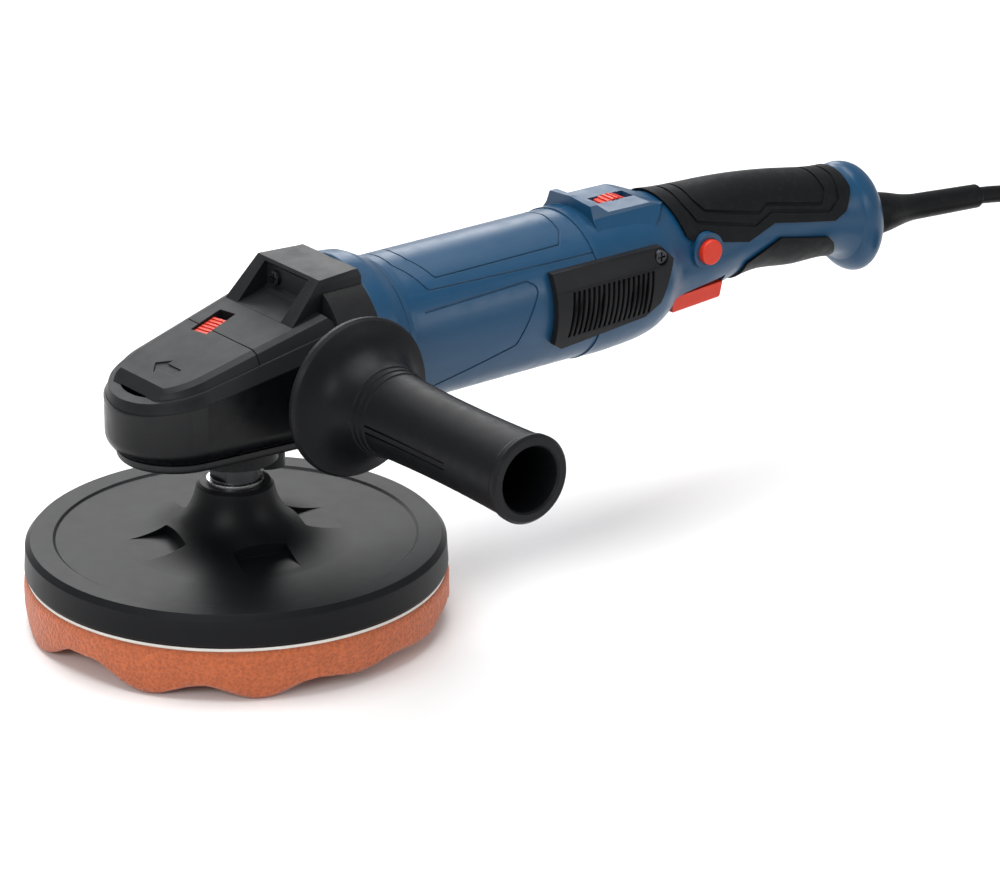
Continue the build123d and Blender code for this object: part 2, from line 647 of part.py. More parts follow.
# ---------------------------------------------------------------- spindle lock
with BuildPart() as spindle_lock_slider:
    with BuildSketch(slot_plane.offset(-6.0)):
        with Locations((-1.9, 0)):
            Rectangle(13.2, 9.2)
    extrude(amount=4.6)
    with BuildSketch(slot_plane.offset(-1.4)):
        with Locations(*[(-7.2 + 2.1 * rib, 0) for rib in range(6)]):
            Rectangle(1.1, 8.2)
    extrude(amount=0.5)
write(spindle_lock_slider, "spindle_lock_slider")

with BuildPart() as spindle_lock_pin:
    with Locations((LOCK_PIN_X, 0, 95.2)):
        Cylinder(2.4, 22, align=(Align.CENTER, Align.CENTER, Align.MIN))
    with Locations((LOCK_PIN_X, 0, 113)):
        Cylinder(4.4, 1.6, align=(Align.CENTER, Align.CENTER, Align.MIN))
write(spindle_lock_pin, "spindle_lock_pin")


with BuildPart() as spindle_lock_spring:
    add(coil_spring(Plane(origin=(LOCK_PIN_X, 0, 104.9)), 3.5, 7.6, 5, 0.4))
write(spindle_lock_spring, "spindle_lock_spring")

# ---------------------------------------------------------------- motor housing
def round_body(points, axis):
    """Solid of revolution from an outline in the XZ plane."""
    with BuildPart() as body:
        with BuildSketch(Plane.XZ):
            with BuildLine():
                Polyline(*points, close=True)
            make_face()
        revolve(axis=axis)
    return body.part


def line_groove(plane, points, depth, width, corner):
    """Narrow prism along an outline, drawn on the plane, for cutting a moulded line."""
    with BuildPart() as groove:
        with BuildSketch(plane):
            with BuildLine():
                FilletPolyline(*points, radius=corner)
            trace(line_width=width)
        extrude(amount=depth)
    return groove.part


PLATE_X0, PLATE_X1 = 46.2, 62.0
with BuildPart() as intermediate_plate:
    add(tube(PLATE_X0, PLATE_X1, 36.4))
    add(tube(ARMATURE_BEARING_X, PLATE_X1 + 1, 11.03), mode=Mode.SUBTRACT)
    add(tube(PLATE_X0 - 1, PLATE_X1, 6.0), mode=Mode.SUBTRACT)
    add(tube(PLATE_X0 - 1, COUNTER_REAR_X + 5.1, 6.53, z=COUNTER_Z), mode=Mode.SUBTRACT)
    add(tube(PLATE_X0 - 1, 54, 3.4, z=COUNTER_Z), mode=Mode.SUBTRACT)
    with BuildSketch(along_motor(PLATE_X0)):
        with PolarLocations(25.5, 6, start_angle=30):
            SlotOverall(15, 7, rotation=90)
    extrude(amount=20, mode=Mode.SUBTRACT)
write(intermediate_plate, "intermediate_plate")

VENT_OUTLINE = [(145.6, 130.6), (206.0, 130.4), (211.0, 124.5), (202.5, 106.2), (194.5, 101.2),
                (149.0, 96.2), (144.4, 99.4)]
VENT_WINDOW = [(150, 126), (203, 126), (206, 122.5), (199, 108), (192, 105), (150, 100)]
PANEL_OUTER = [(76.5, 0), (76.5, 9.4), (84.7, 24.0), (150, 25.4), (SEAM_X + 1, 25.6)]
PANEL_INNER = [(84.5, 0), (85.3, 8), (91, 20.4), (158.5, 20.2), (163.2, 14), (165.2, 0)]
LABEL_OUTLINE = [(79, 127.5), (134, 129), (139.6, 125.6), (125.4, 103.1), (84, 92.6)]


def housing_lines(side):
    """Moulded lines of one side of the motor housing, half a millimetre deep."""
    with BuildPart() as lines:
        for outline in (PANEL_OUTER, PANEL_INNER):
            mirrored = [(x, side * y) for x, y in outline]
            add(line_groove(Plane.XY.offset(MOTOR_Z + 15), mirrored, 30, 0.7, 2))
        label_plane = Plane(origin=(0, 15 * side, 0), x_dir=(1, 0, 0), z_dir=(0, side, 0))
        label = [(x, -side * z) for x, z in LABEL_OUTLINE]
        add(line_groove(label_plane, label, 30, 0.8, 3))
        add(tube(60, SEAM_X + 1, BODY_R + 1, BODY_R - 0.5), mode=Mode.INTERSECT)
    return lines.part


def vent_window(side):
    """Air opening behind a vent cover."""
    return side_prism(VENT_WINDOW, min(20 * side, 45 * side), max(20 * side, 45 * side))


INNER_R = BODY_R - BODY_WALL
HOUSING_OUTLINE = [(HEAD_REAR, 36.45), (HEAD_REAR, RING_R - 0.4), (HEAD_REAR + 0.6, RING_R),
                   (60, 39.2), (62.4, 38.2), (67.4, 35.6), (67.4, 34.8), (68.3, 34.8),
                   (68.3, 35.0), (71.5, 33.6), (75, BODY_R), (SEAM_X, BODY_R),
                   (SEAM_X, INNER_R), (PLATE_X1 + 0.1, INNER_R), (PLATE_X1 + 0.1, 36.45)]
with BuildPart() as motor_housing:
    add(round_body([(x, MOTOR_Z + r) for x, r in HOUSING_OUTLINE], MOTOR_AXIS))
    for side in (1, -1):
        add(housing_lines(side), mode=Mode.SUBTRACT)
        add(vent_window(side), mode=Mode.SUBTRACT)
write(motor_housing, "motor_housing")

# ---------------------------------------------------------------- rear handle
with BuildPart() as bearing_carrier:
    add(tube(REAR_BEARING_X - 2, REAR_BEARING_X + 8.5, INNER_R - 5.0))
    add(tube(REAR_BEARING_X, REAR_BEARING_X + 9, 9.53), mode=Mode.SUBTRACT)
    add(tube(REAR_BEARING_X - 3, REAR_BEARING_X, 6), mode=Mode.SUBTRACT)
    with BuildSketch(along_motor(REAR_BEARING_X - 3)):
        with PolarLocations(17.5, 8):
            SlotOverall(9, 5.5, rotation=90)
    extrude(amount=20, mode=Mode.SUBTRACT)
write(bearing_carrier, "bearing_carrier")

SCREW_X, SCREW_Z = 204.6, 126.2
DECK_TOP_Z = 144.8
LIP_X, LIP_Z = 180.5, 150.2
DIAL_X, DIAL_R = 203.2, 14.0
DIAL_Z = DECK_TOP_Z + 0.8 - DIAL_R
TRIGGER_X0, TRIGGER_X1, TRIGGER_Z0, TRIGGER_Z1 = 222.0, 254.0, 91.5, 99.5
BUTTON_X, BUTTON_Z, BUTTON_R = 239.0, 119.0, 5.7

with BuildPart() as dial_deck:
    add(side_prism([(LIP_X, 128), (LIP_X, LIP_Z), (LIP_X + 2.4, LIP_Z), (LIP_X + 9, DECK_TOP_Z + 0.4),
                    (213, DECK_TOP_Z), (229, 139.5), (229, 128)], -30, 30))
    with BuildSketch(along_motor(LIP_X - 1, 0)):
        Polygon((-26, 131), (-16.4, 143.6), (-14.2, 149), (0, LIP_Z), (14.2, 149),
                (16.4, 143.6), (26, 131), align=None)
    extrude(amount=60, mode=Mode.INTERSECT)
    with BuildSketch(Plane.XY.offset(120)):
        Polygon((LIP_X - 1, -27), (206, -25), (216, -19), (226, -9), (226, 9), (216, 19), (206, 25),
                (LIP_X - 1, 27), align=None)
    extrude(amount=40, mode=Mode.INTERSECT)

with BuildPart() as handle_hollow:
    add(handle_loft(HANDLE_SECTIONS, -SHELL_WALL))
    add(handle_loft(CAP_SECTIONS[:4], -SHELL_WALL - 0.6))

with BuildPart() as handle_body:
    add(handle_loft(HANDLE_SECTIONS, 0))
    add(handle_loft(CAP_SECTIONS, 0))
    add(dial_deck.part)
    with BuildSketch(Plane.XZ.offset(17)):
        with Locations((BUTTON_X, BUTTON_Z)):
            Circle(BUTTON_R + 2.6)
    extrude(amount=8.6)
    add(handle_hollow.part, mode=Mode.SUBTRACT)
    with Locations((DIAL_X, 0, 132)):
        Box(19.8, 8.4, 20, align=(Align.CENTER, Align.CENTER, Align.MIN), mode=Mode.SUBTRACT)
    add(side_prism([(TRIGGER_X0 - 1, 70), (TRIGGER_X1 + 2, 70), (TRIGGER_X1 + 2, TRIGGER_Z1 + 2.4),
                    (TRIGGER_X0 - 1, TRIGGER_Z1 + 0.5)], -40, 40), mode=Mode.SUBTRACT)
    with BuildSketch(Plane.XZ.offset(10)):
        with Locations((BUTTON_X, BUTTON_Z)):
            Circle(BUTTON_R + 0.15)
    extrude(amount=30, mode=Mode.SUBTRACT)
    for side in (1, -1):
        add(vent_window(side), mode=Mode.SUBTRACT)
        with BuildSketch(Plane.XZ.offset(-20 * side)):
            with Locations((SCREW_X, SCREW_Z)):
                Circle(1.7)
        extrude(amount=-20 * side, mode=Mode.SUBTRACT)
    with Locations(Plane(origin=SLEEVE_START, z_dir=(1, 0, -SLEEVE_DROOP))):
        Cylinder(10.2, 30, mode=Mode.SUBTRACT)

for side, name in ((-1, "handle_shell_left"), (1, "handle_shell_right")):
    with BuildPart() as handle_shell:
        add(handle_body.part)
        split(bisect_by=Plane(origin=(0, 0, 0), z_dir=(0, side, 0)), keep=Keep.TOP)
    write(handle_shell, name)

UPPER_GRIP = [(221, 152), (224.8, 141.6), (226.2, 136), (228.4, 127.5), (231, 125.0),
              (265.9, 116.3), (281.9, 121.6), (318.6, 114.6), (325.3, 117.7), (331.4, 127),
              (332.5, 152)]
LOWER_GRIP = [(268, 84), (268, 104.4), (286.2, 113.6), (315.6, 107.2), (319.8, 103.4),
              (324.4, 96), (326, 84)]
with BuildPart() as grip_layer:
    add(handle_loft(HANDLE_SECTIONS, GRIP_LIFT))
    add(handle_loft(HANDLE_SECTIONS, 0), mode=Mode.SUBTRACT)

GRIP_LINES = [
    [(232.5, 150), (233, 139), (236.6, 131.4), (270.6, 123.1), (281.1, 127), (315.6, 119.8),
     (322, 123.5), (325.6, 132), (325.6, 150)],
    [(239.5, 150), (240, 139), (243.4, 134.4), (273.5, 127.7), (279.4, 130.3), (311.6, 123.7),
     (315.8, 128), (316.5, 150)],
]
with BuildPart() as groove_skin:
    add(handle_loft(HANDLE_SECTIONS, GRIP_LIFT + 1))
    add(handle_loft(HANDLE_SECTIONS, GRIP_LIFT - 0.7), mode=Mode.SUBTRACT)


def grip_grooves(side):
    """Two contour lines pressed into the upper grip on one side."""
    plane = Plane(origin=(0, 0, 0), x_dir=(1, 0, 0), z_dir=(0, side, 0))
    with BuildPart() as grooves:
        for outline in GRIP_LINES:
            add(line_groove(plane, [(x, -side * z) for x, z in outline], 30, 1.3, 2))
        add(groove_skin.part, mode=Mode.INTERSECT)
    return grooves.part


for side, name in ((-1, "upper_grip_left"), (1, "upper_grip_right")):
    with BuildPart() as upper_grip:
        add(grip_layer.part)
        add(grip_grooves(side), mode=Mode.SUBTRACT)
        add(side_prism(UPPER_GRIP, min(0, 40 * side), max(0, 40 * side)), mode=Mode.INTERSECT)
        add(dial_deck.part, mode=Mode.SUBTRACT)
        if side < 0:
            with BuildSketch(Plane.XZ.offset(10)):
                with Locations((BUTTON_X, BUTTON_Z)):
                    Circle(BUTTON_R + 2.8)
            extrude(amount=30, mode=Mode.SUBTRACT)
    write(upper_grip, name)

with BuildPart() as lower_grips:
    for side in (1, -1):
        add(side_prism(LOWER_GRIP, min(0.1 * side, 40 * side), max(0.1 * side, 40 * side)))
    add(grip_layer.part, mode=Mode.INTERSECT)
write(lower_grips, "lower_grips")

# ---------------------------------------------------------------- vent covers
VENT_R0, VENT_R1 = 34.15, 37.2
SCREW_SEAT_Y = 32.4

for side, name in ((-1, "vent_cover_left"), (1, "vent_cover_right")):
    with BuildPart() as vent_cover:
        add(tube(140, 214, VENT_R1, VENT_R0))
        add(side_prism(VENT_OUTLINE, min(18 * side, 45 * side), max(18 * side, 45 * side)),
            mode=Mode.INTERSECT)
        for slit in range(17):
            x = 151.0 + 2.75 * slit
            low = 101.5 + 0.1 * slit
            lean = [(x, low), (x + 1.4, low + 0.1), (x + 4.4, 121.5), (x + 3.0, 121.5)]
            add(side_prism(lean, min(18 * side, 45 * side), max(18 * side, 45 * side)),
                mode=Mode.SUBTRACT)
        with BuildSketch(Plane.XZ.offset(-18 * side)):
            with Locations((SCREW_X, SCREW_Z)):
                Circle(1.7)
        extrude(amount=-30 * side, mode=Mode.SUBTRACT)
        with BuildSketch(Plane.XZ.offset(-SCREW_SEAT_Y * side)):
            with Locations((SCREW_X, SCREW_Z)):
                Circle(3.5)
        extrude(amount=-10 * side, mode=Mode.SUBTRACT)
    write(vent_cover, name)

with BuildPart() as vent_screws:
    seats = [Plane(origin=(SCREW_X, SCREW_SEAT_Y * side, SCREW_Z), z_dir=(0, side, 0))
             for side in (1, -1)]
    add(round_screws(seats, 3.2, 1.8, 1.6, 7))
write(vent_screws, "vent_screws")

# ---------------------------------------------------------------- controls
with BuildPart() as speed_dial:
    with BuildSketch(Plane.XZ.offset(-3.8)):
        with Locations((DIAL_X, DIAL_Z)):
            Circle(DIAL_R)
            with PolarLocations(DIAL_R, 36):
                Rectangle(1.1, 1.1, mode=Mode.SUBTRACT)
    extrude(amount=7.6)
    with BuildSketch(Plane.XZ.offset(-8)):
        with Locations((DIAL_X, DIAL_Z)):
            Circle(2.0)
    extrude(amount=16)
write(speed_dial, "speed_dial")

with BuildPart() as speed_module:
    with Locations((DIAL_X + 2, 0, 104)):
        Box(28, 36, 12.5, align=(Align.CENTER, Align.CENTER, Align.MIN))
    for y in (-6.5, 6.5):
        with Locations((DIAL_X, y, 116)):
            Box(10, 2.4, 20, align=(Align.CENTER, Align.CENTER, Align.MIN))
    with BuildSketch(Plane.XZ.offset(-9)):
        with Locations((DIAL_X, DIAL_Z)):
            Circle(2.05)
    extrude(amount=18, mode=Mode.SUBTRACT)
write(speed_module, "speed_module")

PIVOT_X, PIVOT_Z = 225.5, 101.5
with BuildPart() as trigger:
    with BuildSketch(Plane.XY.offset(TRIGGER_Z1)):
        Polygon((TRIGGER_X0, -21.4), (TRIGGER_X1, -17.6), (TRIGGER_X1, 17.6), (TRIGGER_X0, 21.4),
                align=None)
    extrude(amount=-(TRIGGER_Z1 - TRIGGER_Z0), taper=7)
    fillet(trigger.faces().sort_by(Axis.Z)[0].edges(), 1.6)
    for y in (-6, 6):
        with Locations((PIVOT_X, y, TRIGGER_Z1 - 1)):
            Box(7, 3, 5, align=(Align.CENTER, Align.CENTER, Align.MIN))
    with BuildSketch(Plane.XZ.offset(-12)):
        with Locations((PIVOT_X, PIVOT_Z)):
            Circle(1.55)
    extrude(amount=24, mode=Mode.SUBTRACT)
write(trigger, "trigger")

with BuildPart() as trigger_pin:
    with BuildSketch(Plane.XZ.offset(-12)):
        with Locations((PIVOT_X, PIVOT_Z)):
            Circle(1.5)
    extrude(amount=24)
write(trigger_pin, "trigger_pin")

with BuildPart() as trigger_spring:
    add(coil_spring(Plane(origin=(248, 0, TRIGGER_Z1 + 0.6)), 2.6, 5.2, 4, 0.45))
write(trigger_spring, "trigger_spring")

with BuildPart() as switch_module:
    with Locations((245, 0, 106)):
        Box(32, 19, 19, align=(Align.CENTER, Align.CENTER, Align.MIN))
write(switch_module, "switch_module")

with BuildPart() as lock_on_button:
    with BuildSketch(Plane.XZ.offset(15.5)):
        with Locations((BUTTON_X, BUTTON_Z)):
            Circle(BUTTON_R)
    extrude(amount=13.0)
    fillet(lock_on_button.edges().group_by(Axis.Y)[0], 1.0)
write(lock_on_button, "lock_on_button")

with BuildPart() as lock_on_spring:
    add(coil_spring(Plane(origin=(BUTTON_X, -10.2, BUTTON_Z), z_dir=(0, -1, 0)), 3.0, 4.6, 4, 0.4))
write(lock_on_spring, "lock_on_spring")

# ---------------------------------------------------------------- side handle
GUARD_Y = -57.5
HANDLE_END_Y = -173.0
GROOVE_ANGLES = (30, 86, 210, 266)      # pairs of long grooves around the grip
with BuildPart() as side_handle_grip:
    with BuildSketch(Plane(origin=(HANDLE_X, 0, MOTOR_Z))):
        with BuildLine():
            Polyline((0, GUARD_Y + 6), (13.5, GUARD_Y + 6), (15, GUARD_Y + 3.5), (32.6, GUARD_Y + 2.4),
                     (34.2, GUARD_Y + 1.2), (34.4, GUARD_Y - 0.6), (33.4, GUARD_Y - 2.2))
            Bezier((33.4, GUARD_Y - 2.2), (25, GUARD_Y - 5), (20.5, GUARD_Y - 10), (19.4, GUARD_Y - 21))
            Polyline((19.4, GUARD_Y - 21), (18.9, GUARD_Y - 21.5), (18.9, GUARD_Y - 24.2),
                     (18.4, GUARD_Y - 24.7), (18.4, GUARD_Y - 27.4), (17.9, GUARD_Y - 27.9))
            Bezier((17.9, GUARD_Y - 27.9), (16.6, -110), (16.8, -140), (17.9, -168))
            Polyline((17.9, -168), (18.7, -169.6), (18.8, -171.8), (17.6, HANDLE_END_Y),
                     (14.6, HANDLE_END_Y), (13.8, -172), (13.4, -101), (0, -101), (0, GUARD_Y + 6))
        make_face()
    revolve(axis=HANDLE_AXIS)
    for angle in GROOVE_ANGLES:
        for lean in (-5, 5):
            with Locations(Location((HANDLE_X, -112, MOTOR_Z), (0, angle + lean, 0))):
                with Locations((0, 0, 16.5)):
                    Box(0.9, 52, 4, align=(Align.CENTER, Align.CENTER, Align.MIN),
                        mode=Mode.SUBTRACT)
    with BuildSketch(Plane.XZ.offset(40)):
        with Locations((HANDLE_X, MOTOR_Z)):
            Circle(STUD_R + 0.02)
    extrude(amount=56, mode=Mode.SUBTRACT)
write(side_handle_grip, "side_handle_grip")

with BuildPart() as side_handle_stud:
    with BuildSketch(Plane.XZ.offset(30)):
        with Locations((HANDLE_X, MOTOR_Z)):
            Circle(STUD_R - 0.05)
    extrude(amount=65)
    with BuildSketch(Plane.XZ.offset(BOSS_FACE)):
        with Locations((HANDLE_X, MOTOR_Z)):
            Circle(12.0)
    extrude(amount=-GUARD_Y - 6 - BOSS_FACE)
write(side_handle_stud, "side_handle_stud")

# ---------------------------------------------------------------- cord
sleeve_axis = Vector(1, 0, -SLEEVE_DROOP).normalized()
sleeve_tip = Vector(*SLEEVE_START) + sleeve_axis * SLEEVE_LENGTH
with BuildPart() as cord_sleeve:
    with BuildSketch(Plane(origin=SLEEVE_START, x_dir=tuple(sleeve_axis), z_dir=(0, -1, 0))):
        with BuildLine():
            Polyline((0, 0), (0, 9.4), (5, 9.8))
            Bezier((5, 9.8), (14, 8.8), (18, 6.6), (28, 6.1))
            Polyline((28, 6.1), (SLEEVE_LENGTH - 1.4, 5.6), (SLEEVE_LENGTH, 4.4), (SLEEVE_LENGTH, 0),
                     (0, 0))
        make_face()
    revolve(axis=Axis(SLEEVE_START, tuple(sleeve_axis)))
write(cord_sleeve, "cord_sleeve")

COIL_X, COIL_Y = 474.0, -82.0
COIL_OUT_R, COIL_IN_R = 61.0, 29.0
COIL_FULL_H, COIL_TOP_H = 24.0, 32.0
FIRST_TURN_R = COIL_OUT_R - CORD_D / 2
LEAD_ROUTE = [tuple(sleeve_tip), (452, -0.5, 95.6), (486, -2, 84), (514, -9, 59), (527, -22, 28),
              (COIL_X + FIRST_TURN_R, -48, 6), (COIL_X + FIRST_TURN_R, COIL_Y, CORD_D / 2)]
PLUG_X, PLUG_Y, PLUG_Z = 386.0, -136.0, 13.0
TAIL_ROUTE = [(COIL_X, -123, 28), (443, -125.5, 28.3), (413, -132.5, 19), (PLUG_X, PLUG_Y, PLUG_Z)]


def corner_radii(route):
    """Largest arcs that the runs of a route leave room for."""
    radii = []
    for before, corner, after in zip(route, route[1:], route[2:]):
        run_in = Vector(*corner) - Vector(*before)
        run_out = Vector(*after) - Vector(*corner)
        half_turn = radians(run_in.get_angle(run_out)) / 2
        radii.append(0.45 * min(run_in.length, run_out.length) / tan(half_turn))
    return radii


def cord_tube(route, name):
    """Round cord along a route of straight runs and tangent arcs."""
    radii = corner_radii(route)
    with BuildPart() as cord:
        with BuildLine():
            path = FilletPolyline(*route, radius=radii)
        with BuildSketch(Plane(origin=path @ 0, z_dir=path % 0)):
            Circle(CORD_D / 2)
        sweep(path=path)
    share = cord.part.volume / (pi * CORD_D ** 2 / 4 * path.length)
    print(name, "radii", [round(r) for r in radii], "length", round(path.length), "volume", round(share, 4))
    write(cord, name)


cord_tube(LEAD_ROUTE, "cord_lead")
cord_tube(TAIL_ROUTE, "cord_tail")

with BuildPart() as cord_coil:
    with BuildSketch(Plane.XY):
        with Locations((COIL_X, COIL_Y)):
            Circle(COIL_OUT_R)
            Circle(COIL_IN_R, mode=Mode.SUBTRACT)
    extrude(amount=COIL_FULL_H)
    with BuildSketch(Plane.XY.offset(COIL_FULL_H)):
        with Locations((COIL_X, COIL_Y)):
            Circle(COIL_IN_R + 2 * CORD_D)
            Circle(COIL_IN_R, mode=Mode.SUBTRACT)
    extrude(amount=COIL_TOP_H - COIL_FULL_H)
write(cord_coil, "cord_coil")

# two-pin plug that lies on its side at the end of the cord
PLUG_L = 38.0
with BuildPart() as plug_body:
    for x, half_y, half_z, length in ((PLUG_X, 5.6, 5.6, 12), (PLUG_X - 12, 9, 9, 4),
                                      (PLUG_X - 16, 17.5, 12.9, PLUG_L - 16)):
        with BuildSketch(Plane(origin=(x, PLUG_Y, PLUG_Z), x_dir=(0, 1, 0), z_dir=(-1, 0, 0))):
            RectangleRounded(2 * half_y, 2 * half_z, min(half_y, half_z) * 0.7)
        extrude(amount=length)
write(plug_body, "plug_body")

with BuildPart() as plug_pins:
    for y in (-9.5, 9.5):
        with BuildSketch(Plane(origin=(PLUG_X - PLUG_L, PLUG_Y + y, PLUG_Z), z_dir=(-1, 0, 0))):
            Circle(2.4)
        extrude(amount=19)
    fillet(plug_pins.edges().group_by(Axis.X)[0], 1.2)
write(plug_pins, "plug_pins")
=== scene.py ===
import bmesh
import bpy
import json
from math import cos, pi, radians, sin
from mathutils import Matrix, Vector, noise


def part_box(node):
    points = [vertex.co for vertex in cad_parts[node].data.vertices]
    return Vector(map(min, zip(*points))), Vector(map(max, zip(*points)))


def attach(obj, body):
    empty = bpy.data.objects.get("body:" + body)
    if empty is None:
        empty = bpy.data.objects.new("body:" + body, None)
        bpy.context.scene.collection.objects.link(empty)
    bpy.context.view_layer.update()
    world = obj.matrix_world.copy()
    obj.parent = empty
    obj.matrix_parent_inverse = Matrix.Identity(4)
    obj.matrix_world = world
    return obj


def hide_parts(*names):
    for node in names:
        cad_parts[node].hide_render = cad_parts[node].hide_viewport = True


# Rotary polisher. Metres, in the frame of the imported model: origin at the centre of the pad's
# working face, +X to the rear handle and cord, -Y to the side handle, +Z up.

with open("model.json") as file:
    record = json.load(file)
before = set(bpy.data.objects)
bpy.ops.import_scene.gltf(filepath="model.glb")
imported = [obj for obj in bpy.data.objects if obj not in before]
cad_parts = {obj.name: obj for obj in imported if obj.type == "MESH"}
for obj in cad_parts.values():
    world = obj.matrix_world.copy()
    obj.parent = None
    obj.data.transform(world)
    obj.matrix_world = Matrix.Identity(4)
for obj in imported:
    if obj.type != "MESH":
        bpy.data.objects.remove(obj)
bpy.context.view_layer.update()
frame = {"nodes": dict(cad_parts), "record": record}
MM = 0.001

# ---------------------------------------------------------------- camera
camera_data = bpy.data.cameras.new("camera")
camera_data.lens = 180
camera_data.sensor_width = 36
camera = bpy.data.objects.new("camera", camera_data)
camera.location = (-1.114087, -1.610658, 0.859640)
camera.rotation_euler = (radians(90 - 21.687), 0, radians(-37.947))
bpy.context.scene.collection.objects.link(camera)
bpy.context.scene.camera = camera

# ---------------------------------------------------------------- cord
CORD_D = 8 * MM
COIL_CENTRE = (474, -82)
LEAD_ROUTE = [(425.3, 0, 98.7), (452, -0.5, 95.6), (486, -2, 84), (514, -9, 59), (527, -22, 28),
              (531, -48, 6), (531, -82, 4)]
TAIL_ROUTE = [(474, -123, 28), (443, -125.5, 28.3), (413, -132.5, 19), (386, -136, 13)]
# the coil, layer by layer: turns so far, radius of the turn and height of its centreline
COIL_STAGES = [(0, 57, 4), (3, 33, 4), (4, 33, 12), (7, 57, 12), (8, 57, 20), (11, 33, 20),
               (12, 33, 28), (13, 41, 28), (13.25, 41, 28)]
POINTS_PER_TURN = 16


def coil_place(turn):
    """Radius and height of the coil's centreline after that many turns."""
    for before, after in zip(COIL_STAGES, COIL_STAGES[1:]):
        if turn <= after[0]:
            share = (turn - before[0]) / (after[0] - before[0])
            return (before[1] + share * (after[1] - before[1]),
                    before[2] + share * (after[2] - before[2]))
    return COIL_STAGES[-1][1:]


def coil_points():
    """Centreline of the put-away cord, clockwise seen from above."""
    points = []
    for step in range(1, int(COIL_STAGES[-1][0] * POINTS_PER_TURN)):
        turn = step / POINTS_PER_TURN
        r, z = coil_place(turn)
        angle = -2 * pi * turn
        points.append((COIL_CENTRE[0] + r * cos(angle), COIL_CENTRE[1] + r * sin(angle), z))
    return points


def make_cord():
    """The mains cord as one smooth line from the sleeve to the plug."""
    route = LEAD_ROUTE + coil_points() + TAIL_ROUTE
    curve = bpy.data.curves.new("power_cord", "CURVE")
    curve.dimensions = "3D"
    curve.bevel_depth = CORD_D / 2
    curve.bevel_resolution = 5
    curve.resolution_u = 6
    spline = curve.splines.new("NURBS")
    spline.points.add(len(route) - 1)
    for point, place in zip(spline.points, route):
        point.co = (place[0] * MM, place[1] * MM, place[2] * MM, 1)
    spline.order_u = 3
    spline.use_endpoint_u = True
    cord = bpy.data.objects.new("power_cord", curve)
    bpy.context.scene.collection.objects.link(cord)
    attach(cord, "body")
    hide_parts("cord_lead", "cord_coil", "cord_tail")
    return cord


power_cord = make_cord()


# ---------------------------------------------------------------- mesh helpers
def mesh_piece(name, bm, body):
    """Link a bmesh as a piece that rides on a body."""
    mesh = bpy.data.meshes.new(name)
    bm.to_mesh(mesh)
    bm.free()
    for face in mesh.polygons:
        face.use_smooth = True
    piece = bpy.data.objects.new(name, mesh)
    bpy.context.scene.collection.objects.link(piece)
    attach(piece, body)
    return piece


# ---------------------------------------------------------------- foam pad
PAD_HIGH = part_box("foam_pad")[1]
FOAM_R = PAD_HIGH[0]
FOAM_TOP = PAD_HIGH[2]
WAFFLE_PITCH = 47 * MM
WAFFLE_DEPTH = 9.0 * MM
WAFFLE_TURN = radians(-37.9)
WAFFLE_START = (12.6 * MM, 9.0 * MM)      # one of the peaks, from the pad's centre
FOAM_RINGS, FOAM_SPOKES = 44, 288
RIM_WIDTH, RIM_LIFT = 3.2 * MM, 1.6 * MM  # the soft lower edge
FACE_RIPPLE = 0.25 * MM


def waffle_height(x, y):
    """Height of the foam's working face: peaks reach the floor, valleys rise between them."""
    u = x * cos(WAFFLE_TURN) + y * sin(WAFFLE_TURN) - WAFFLE_START[0]
    v = -x * sin(WAFFLE_TURN) + y * cos(WAFFLE_TURN) - WAFFLE_START[1]
    wave = 0.5 - 0.25 * (cos(2 * pi * u / WAFFLE_PITCH) + cos(2 * pi * v / WAFFLE_PITCH))
    return WAFFLE_DEPTH * min(1.0, 1.25 * wave)


def make_foam():
    """Convoluted foam disc with a soft lower edge."""
    rings, spokes = FOAM_RINGS, FOAM_SPOKES
    bm = bmesh.new()
    rows = []
    for ring in range(1, rings + 1):
        r = FOAM_R * ring / rings
        row = []
        for spoke in range(spokes):
            angle = 2 * pi * spoke / spokes
            x, y = r * cos(angle), r * sin(angle)
            z = waffle_height(x, y)
            from_rim = FOAM_R - r
            if from_rim < RIM_WIDTH:
                z += RIM_LIFT * (1 - from_rim / RIM_WIDTH) ** 2
            z += FACE_RIPPLE * noise.noise(Vector((x * 240, y * 240, 0)))
            row.append(bm.verts.new((x, y, max(z, 0.05 * MM))))
        rows.append(row)
    rim = rows[-1]
    for share in (0.12, 0.35, 0.6, 0.85, 1.0):
        row = []
        for spoke in range(spokes):
            angle = 2 * pi * spoke / spokes
            low = rim[spoke].co.z
            z = low + (FOAM_TOP - low) * share
            bulge = 0.35 * MM * sin(pi * share) - 0.8 * MM * max(0, share - 0.85) / 0.15
            ripple = FACE_RIPPLE * noise.noise(Vector((cos(angle) * 14, sin(angle) * 14, z * 160)))
            r = FOAM_R + bulge + ripple
            row.append(bm.verts.new((r * cos(angle), r * sin(angle), z)))
        rows.append(row)
    top = []
    for spoke in range(spokes):
        angle = 2 * pi * spoke / spokes
        top.append(bm.verts.new((0.5 * FOAM_R * cos(angle), 0.5 * FOAM_R * sin(angle), FOAM_TOP)))
    rows.append(top)
    for low_row, high_row in zip(rows, rows[1:]):
        for spoke in range(spokes):
            following = (spoke + 1) % spokes
            bm.faces.new((low_row[spoke], high_row[spoke], high_row[following], low_row[following]))
    centre = bm.verts.new((0, 0, waffle_height(0, 0)))
    cap = bm.verts.new((0, 0, FOAM_TOP))
    for spoke in range(spokes):
        following = (spoke + 1) % spokes
        bm.faces.new((centre, rows[0][spoke], rows[0][following]))
        bm.faces.new((cap, top[following], top[spoke]))
    bmesh.ops.recalc_face_normals(bm, faces=bm.faces)
    foam = mesh_piece("waffle_foam", bm, "spindle")
    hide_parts("foam_pad")
    return foam


waffle_foam = make_foam()


